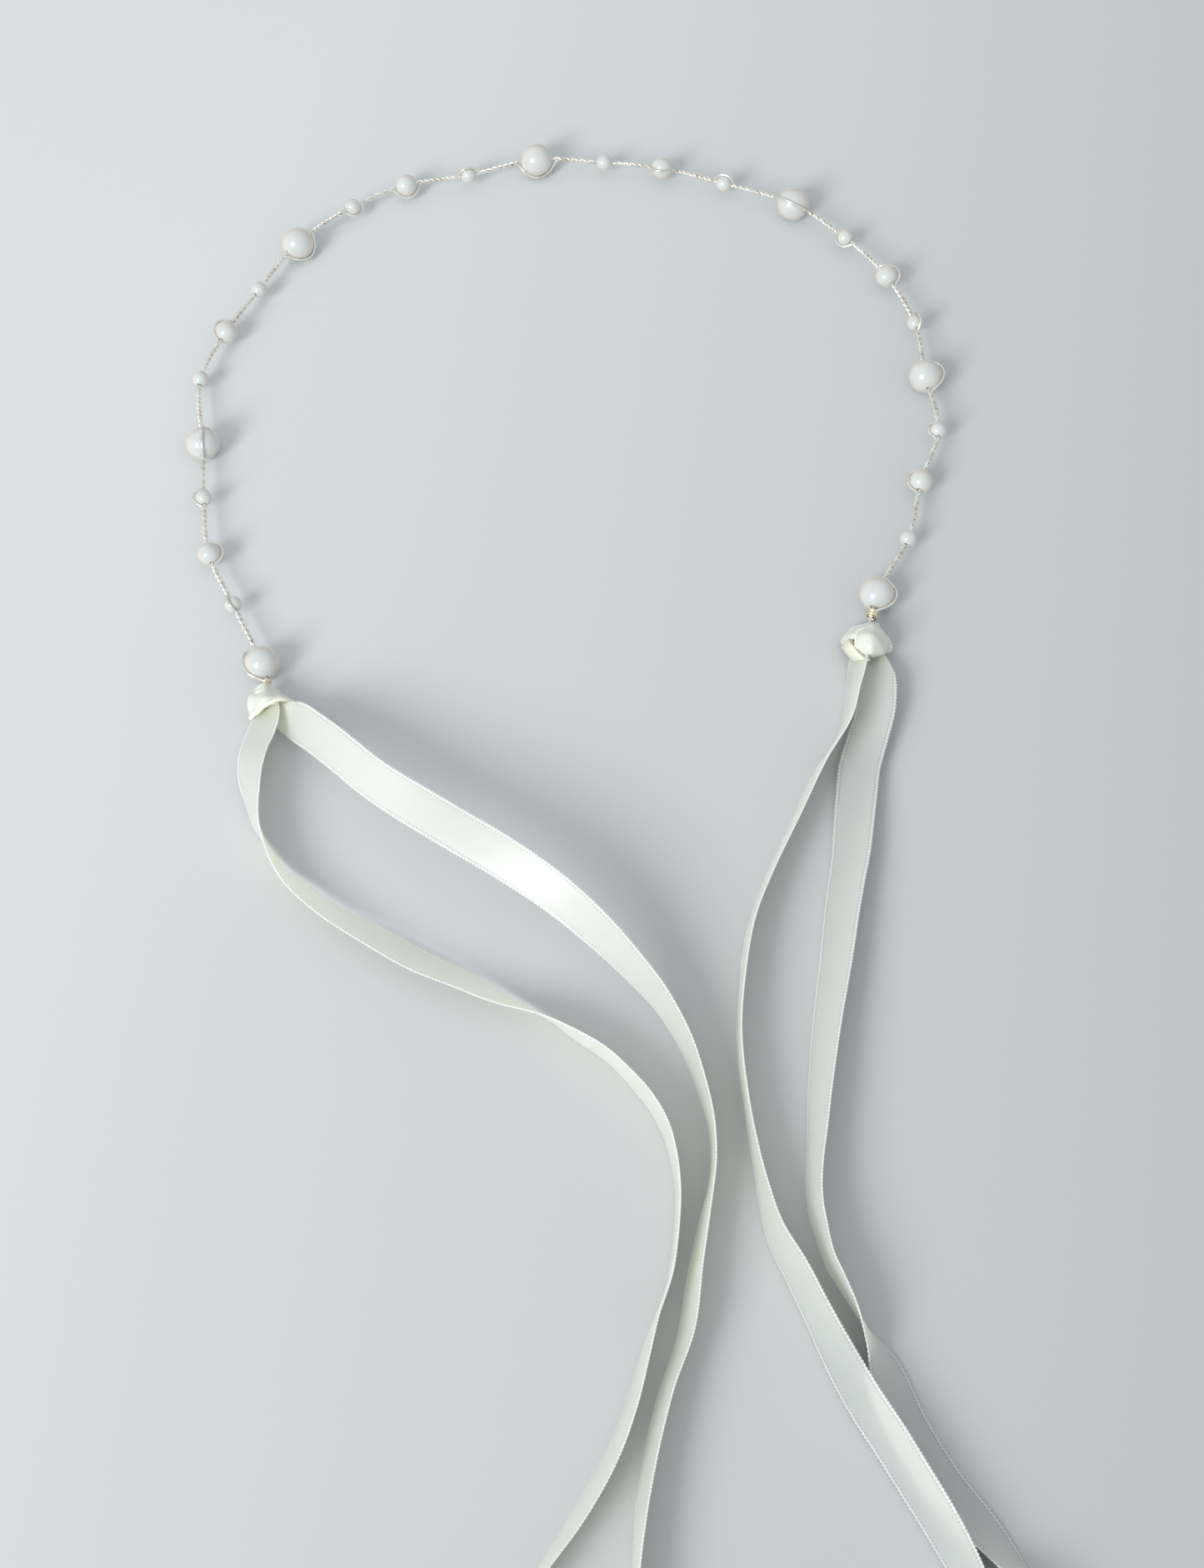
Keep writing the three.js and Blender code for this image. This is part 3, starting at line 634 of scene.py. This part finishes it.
def strand_line(phase, over_pearls):
    """One strand of the band, from the left end of the twist to the right end.

    The strand that goes over the pearls has phase 0, and the one through their bores is half a turn from it.
    """
    ends = [(BAND.places[0] + TWIST_FROM_LEFT_KNOT, 0, 0)]
    ends += [(BAND.places[i + 1], RADII[i], math.radians(BINDING_SIDE[i])) for i in range(len(PEARLS))]
    ends += [(BAND.length - TWIST_FROM_RIGHT_KNOT, 0, 0)]
    made = []
    for (place, radius, side), (next_place, next_radius, next_side) in zip(ends, ends[1:]):
        start = place + (twist_start(radius) if radius else 0)
        stop = next_place - (twist_start(next_radius) if next_radius else 0)
        turns = max(1, round((stop - start) / TWIST_PITCH))
        sweep = (next_side - side) % (2 * math.pi) + (turns - 1) * 2 * math.pi
        share = np.linspace(0, 1, turns * 24 + 12)
        made.append(BAND.beside(start + share * (stop - start), np.full(len(share), TWIST_RADIUS),
                                side + phase + share * sweep))
        if next_radius:
            reach = twist_start(next_radius)
            distances = -reach * np.cos(np.linspace(0, math.pi, 60)[1:-1])
            if over_pearls:
                offsets = bow_offsets(next_radius, distances)
            else:
                closing = np.clip((np.abs(distances) - next_radius) / (reach - next_radius), 0, 1)
                offsets = TWIST_RADIUS * closing**2 * (3 - 2 * closing)
            angles = np.full(len(distances), next_side + phase)
            made.append(BAND.beside(next_place + distances, offsets, angles))
    return np.vstack(made)


def eyelet_line(knot, stem):
    """The open loop that a ribbon is tied through, from the stem outwards."""
    aside = np.cross(UP, stem)
    angles = np.radians(np.linspace(0, 285, 24))
    loop = [(-EYELET_RADIUS * math.sin(a), EYELET_RADIUS * math.cos(a)) for a in angles]
    lead = [(4 * MM, 0.1 * MM), (3.2 * MM, 0.7 * MM), (2.3 * MM, 1.3 * MM), (1.1 * MM, 1.6 * MM)]
    return np.array([knot + up * stem + out * aside for up, out in lead + loop])


def add_wires():
    left_stem = BAND.frame_at([3 * MM])[1][0]
    right_stem = -BAND.frame_at([BAND.length - 3 * MM])[1][0]
    stringing = np.vstack([
        eyelet_line(LEFT_KNOT, left_stem)[::-1],
        strand_line(math.pi, False),
        eyelet_line(RIGHT_KNOT, right_stem),
    ])
    for name, line in (("stringing_wire", stringing), ("binding_wire", strand_line(0, True))):
        line = eased(resample(line, 0.14 * MM), 3)
        points, faces = loft(round_ended(line, WIRE / 2))
        add_piece(name + "_strand", points, faces, CHAMPAGNE, "band", (name,))


add_wires()


def add_collar(side, first, last, coil_radius, thickness, turns):
    """Gold wire wound tight round the end of the twist, with its ends pressed in.

    first and last are how far from the knot the winding starts and stops. Lengths are in millimetres.
    """
    share = np.linspace(0, 1, int(turns * 40))
    at_ends = np.maximum(0, 1 - share * turns * 4) + np.maximum(0, 1 - (1 - share) * turns * 4)
    inset = 0.25 * MM * at_ends
    distances = (first + (last - first) * share) * MM
    if side == "right":
        distances = BAND.length - distances
    line = BAND.beside(distances, coil_radius * MM - inset, 2 * math.pi * turns * share + math.radians(200))
    points, faces = loft(round_ended(line, thickness / 2 * MM))
    add_piece(side + "_collar_coil", points, faces, GOLD, "band", (side + "_collar",))


add_collar("left", first=5.3, last=6.1, coil_radius=0.82, thickness=0.5, turns=1.7)
add_collar("right", first=6.3, last=8.3, coil_radius=0.88, thickness=0.95, turns=2.2)

# Ribbon knots, in millimetres from the surface under each knot's eyelet. Each wrap is a stretch of ribbon
# over a grid of points. Its rows step across the ribbon, from one woven edge to the other, in the wraps
# marked across, and along it in the others.
WRAPS = {
    "left": [
        ("dome", "across", [
            [(-3.1, 3.1, 5.3), (-2.3, 3.4, 5.8), (-1.3, 3.5, 6.2), (-0.5, 3.8, 5.4), (0.0, 4.6, 3.0)],
            [(-4.0, 2.3, 5.3), (-2.7, 2.3, 5.6), (-1.0, 1.0, 7.6), (0.3, 1.8, 6.2), (1.2, 3.5, 2.6)],
            [(-4.8, 0.5, 5.2), (-3.1, 0.1, 6.3), (-0.7, -1.0, 8.4), (1.5, 0.1, 7.4), (3.3, 1.9, 3.8)],
            [(-5.1, -1.3, 3.9), (-3.2, -2.1, 6.0), (-0.6, -2.5, 8.8), (2.2, -1.1, 8.2), (4.5, 0.6, 4.6)],
            [(-4.5, -2.4, 1.6), (-2.8, -3.3, 5.8), (-0.5, -3.0, 8.1), (2.3, -1.5, 7.8), (5.1, -0.1, 4.2)],
        ]),
        ("under", "across", [
            [(-4.5, -1.8, 1.4), (-2.7, -3.8, 5.2), (-0.6, -3.1, 7.0), (1.7, -1.7, 6.7), (4.3, 0.2, 3.6)],
            [(-4.1, 0.1, 1.2), (-2.5, -1.6, 4.2), (-0.6, -1.6, 5.6), (1.1, -0.5, 5.6), (2.8, 1.1, 2.8)],
            [(-3.8, 2.4, 1.0), (-2.2, 1.1, 3.4), (-0.9, 0.7, 4.6), (0.5, 1.3, 4.6), (1.8, 2.8, 2.2)],
        ]),
    ],
    "right": [
        ("front", "along", [
            [(0.1, 3.5, 5.4), (0.4, 3.3, 6.0), (1.0, 3.3, 6.2), (1.7, 3.7, 5.6), (2.2, 4.2, 4.6)],
            [(-1.9, 0.7, 6.6), (-1.0, 0.3, 7.6), (0.6, -0.1, 8.2), (2.2, 0.4, 7.0), (3.4, 1.8, 4.6)],
            [(-3.3, -1.6, 7.2), (-2.0, -2.3, 8.4), (0.2, -2.9, 9.0), (2.6, -2.0, 7.2), (4.4, 0.7, 4.0)],
            [(-3.4, -3.3, 6.6), (-2.1, -4.1, 7.6), (0.1, -5.1, 8.6), (2.7, -3.8, 6.6), (5.1, -0.6, 2.8)],
            [(-2.5, -4.2, 5.2), (-1.4, -5.1, 6.2), (0.3, -5.8, 7.0), (2.6, -4.5, 5.4), (4.9, -1.7, 2.2)],
            [(-1.2, -4.2, 3.6), (-0.5, -4.9, 4.2), (0.7, -5.3, 4.6), (2.3, -3.9, 3.6), (3.6, -2.4, 2.0)],
        ]),
        ("back", "across", [
            [(1.0, 5.5, 3.4), (-0.7, 5.6, 2.6), (-2.6, 5.2, 1.9), (-4.4, 4.2, 1.4), (-5.7, 2.1, 1.0)],
            [(0.8, 4.2, 5.0), (-1.0, 3.6, 4.8), (-2.9, 2.9, 4.4), (-4.6, 2.0, 3.6), (-6.0, 0.3, 2.2)],
            [(0.5, 3.1, 5.8), (-1.3, 1.6, 6.3), (-2.8, -0.1, 6.3), (-4.2, -0.6, 5.4), (-5.4, -1.2, 3.8)],
            [(0.2, 2.8, 5.2), (-1.2, 0.9, 5.6), (-2.3, -0.7, 5.6), (-3.3, -1.2, 4.8), (-4.2, -1.6, 3.6)],
        ]),
        ("roll", "across", [
            [(-3.9, -1.4, 5.8), (-3.4, -3.0, 5.8), (-2.6, -4.0, 5.2), (-1.5, -4.7, 4.6), (-0.2, -4.8, 3.8)],
            [(-4.7, -1.0, 5.6), (-4.2, -3.3, 6.6), (-3.3, -4.8, 6.4), (-1.9, -5.9, 5.8), (-0.2, -5.8, 4.6)],
            [(-5.5, -0.1, 3.4), (-5.1, -3.0, 4.6), (-3.9, -4.8, 5.0), (-2.2, -5.8, 4.6), (-0.2, -5.6, 3.8)],
            [(-5.9, 0.0, 1.4), (-4.8, -2.2, 2.0), (-3.6, -4.0, 2.6), (-2.1, -5.0, 3.0), (-0.4, -5.0, 3.0)],
        ]),
    ],
}

HOLLOW_WRAPS = {"under", "roll"}  # the ones deep in a fold, which get the painted warm glow of the knot's hollow


def knot_middle(side):
    return LEFT_KNOT if side == "left" else RIGHT_KNOT


def beside_knot(side, points):
    """Points given in millimetres from the surface under the knot's eyelet, in the frame's metres."""
    return knot_middle(side) * (1, 1, 0) + np.array(points) * MM


def add_knot_piece(side, name, rings, uv):
    """A part of a ribbon's knot, in satin."""
    points, faces = loft(rings)
    add_piece(f"{side}_knot_{name}", points, faces, KNOTTED_SATIN, side + "_ribbon",
              (side + "_ribbon_knot",), uv)


def smooth_grid(rows, steps):
    """A finer grid on the smooth surface through a grid of points."""
    fine = np.array([smooth(row, steps) for row in rows])
    return np.stack([smooth(fine[:, k], steps) for k in range(fine.shape[1])], axis=1)


def add_wrap(side, name, runs, rows):
    """A stretch of the knot's ribbon, with its woven edges on the two sides that its length runs between."""
    grid = smooth_grid(beside_knot(side, rows), 12)
    if runs == "along":
        grid = grid.transpose(1, 0, 2)
    down, along = np.gradient(grid, axis=0), np.gradient(grid, axis=1)
    normal = unit(np.cross(along, down))
    if (normal * (grid - knot_middle(side))).sum() < 0:
        normal = -normal
    across = np.linspace(-1, 1, len(grid))
    edge = np.clip((np.abs(across) - 0.86) / 0.14, 0, 1)
    half_thickness = 0.13 * MM * (1 + 0.7 * np.sin(math.pi * edge))[:, None, None]
    lengths = np.cumsum(np.linalg.norm(np.diff(grid, axis=1, prepend=grid[:, :1]), axis=2), axis=1)
    # Wraps deep in the fold keep the painted warm glow at their start; the others begin past it.
    if name not in HOLLOW_WRAPS:
        lengths = lengths + PAINTED_GLOW_LENGTH
    loops = (np.abs(np.cos(math.pi * lengths / PICOT)) - 0.5) * PICOT_REACH * edge[:, None]
    outward = unit(down) * np.sign(across)[:, None, None]
    lumps = 0.12 * MM * np.sin(grid[..., 0] * 900 + grid[..., 1] * 1400 + len(name))
    middle = grid + normal * lumps[..., None] + outward * loops[..., None]
    front = middle + normal * half_thickness
    back = middle - normal * half_thickness
    rings = np.concatenate([front, back[::-1]]).transpose(1, 0, 2)
    v = np.concatenate([across, across[::-1]]) * RIBBON_WIDTH / 2
    u = np.concatenate([lengths, lengths[::-1]]).T
    uv = np.stack([u, np.broadcast_to(v, u.shape)], axis=-1).reshape(-1, 2)
    add_knot_piece(side, name, rings, uv)


def add_lip(side, points, radius):
    """A ribbon's woven edge where it is rolled over on itself. Lengths are in millimetres."""
    line = resample(smooth(beside_knot(side, points), 16), 0.12 * MM)
    along = lengths_along(line)
    rings = round_ended(line, radius * MM * (1 + 0.12 * np.abs(np.cos(math.pi * along / PICOT))))
    # The lip's satin begins past the painted warm glow.
    u = np.broadcast_to(along[:, None] + PAINTED_GLOW_LENGTH, rings.shape[:2])
    v = np.full(rings.shape[:2], 4.4 * MM)
    add_knot_piece(side, "lip", rings, np.stack([u, v], axis=-1).reshape(-1, 2))


def add_core(side, middle, half):
    """The inner wraps, drawn tight: a lumpy ball with folds that run about the neck.

    Its middle and its half widths are in millimetres.
    """
    turns = np.linspace(0, 2 * math.pi, 96, endpoint=False)
    rises = np.linspace(0.02, math.pi - 0.02, 60)
    theta, phi = np.meshgrid(rises, turns, indexing="ij")
    radius = 1 + 0.05 * np.sin(3 * phi + 4 * np.cos(theta)) + 0.03 * np.cos(9 * np.cos(theta) + 2 * phi)
    ball = np.stack([np.sin(theta) * np.cos(phi), np.cos(theta), np.sin(theta) * np.sin(phi)], axis=-1)
    points = beside_knot(side, middle) + ball * radius[..., None] * np.array(half) * MM
    points[..., 2] = np.maximum(points[..., 2], 0.15 * MM)  # pressed flat where it lies on the surface
    # Its u starts at 0, so part of the core gets the painted warm glow.
    uv = np.stack([phi * half[0] * MM, -np.cos(theta) * RIBBON_WIDTH * 0.42], axis=-1).reshape(-1, 2)
    add_knot_piece(side, "core", points, uv)


add_core("left", middle=(-0.7, 1.0, 3.7), half=(3.3, 2.9, 3.4))
add_core("right", middle=(-0.1, 0.0, 3.8), half=(3.8, 3.6, 3.5))
add_lip("left", [(-4.6, -2.7, 1.8), (-2.8, -3.5, 5.6), (-0.5, -3.2, 7.9), (2.3, -1.6, 7.7),
                (5.2, -0.1, 4.2)], radius=0.46)
add_lip("right", [(-4.6, -1.3, 5.2), (-4.1, -3.6, 6.0), (-3.1, -5.0, 5.8), (-1.7, -6.0, 5.2),
                 (0.0, -5.7, 4.4)], radius=0.4)
for side, wraps in WRAPS.items():
    for name, runs, rows in wraps:
        add_wrap(side, name, runs, rows)

# Floor and light


def add_stage():
    half = 3.0
    mesh = bpy.data.meshes.new("floor")
    corners = [(-half, -half, 0), (half, -half, 0), (half, half, 0), (-half, half, 0)]
    mesh.from_pydata(corners, [], [(0, 1, 2, 3)])
    mesh.materials.append(floor_material())
    floor = bpy.data.objects.new("floor", mesh)
    bpy.context.scene.collection.objects.link(floor)


def add_area_light(name, direction, distance, size, power, colour):
    data = bpy.data.lights.new(name, "AREA")
    data.shape = "ELLIPSE"
    data.size, data.size_y = size
    data.energy = power
    data.color = colour
    lamp = bpy.data.objects.new(name, data)
    towards = Vector(direction).normalized()
    lamp.location = Vector((0, -0.1, 0)) + towards * distance
    lamp.rotation_euler = towards.to_track_quat("Z", "Y").to_euler()
    bpy.context.scene.collection.objects.link(lamp)


def add_lights():
    add_area_light("window", direction=(-1.0, -1.25, 1.0), distance=3.6, size=(1.4, 1.7), power=96,
                   colour=(1.0, 0.975, 0.94))
    world = bpy.data.worlds.new("room")
    world.use_nodes = True
    tree = world.node_tree
    direction = add_node(tree, "ShaderNodeTexCoord").outputs["Generated"]
    towards = add_node(tree, "ShaderNodeVectorMath", {0: direction, 1: (-0.42, -0.48, 0.77)},
                       operation="DOT_PRODUCT").outputs["Value"]
    share = calculate(tree, "MULTIPLY_ADD", towards, 0.6, 0.4, clamp=True)
    colour = mix_colours(tree, share, (0.50, 0.515, 0.52), (0.815, 0.84, 0.855))
    tree.links.new(colour, tree.nodes["Background"].inputs["Color"])
    bpy.context.scene.world = world
    bpy.context.scene.view_settings.view_transform = "Standard"


add_stage()
add_lights()
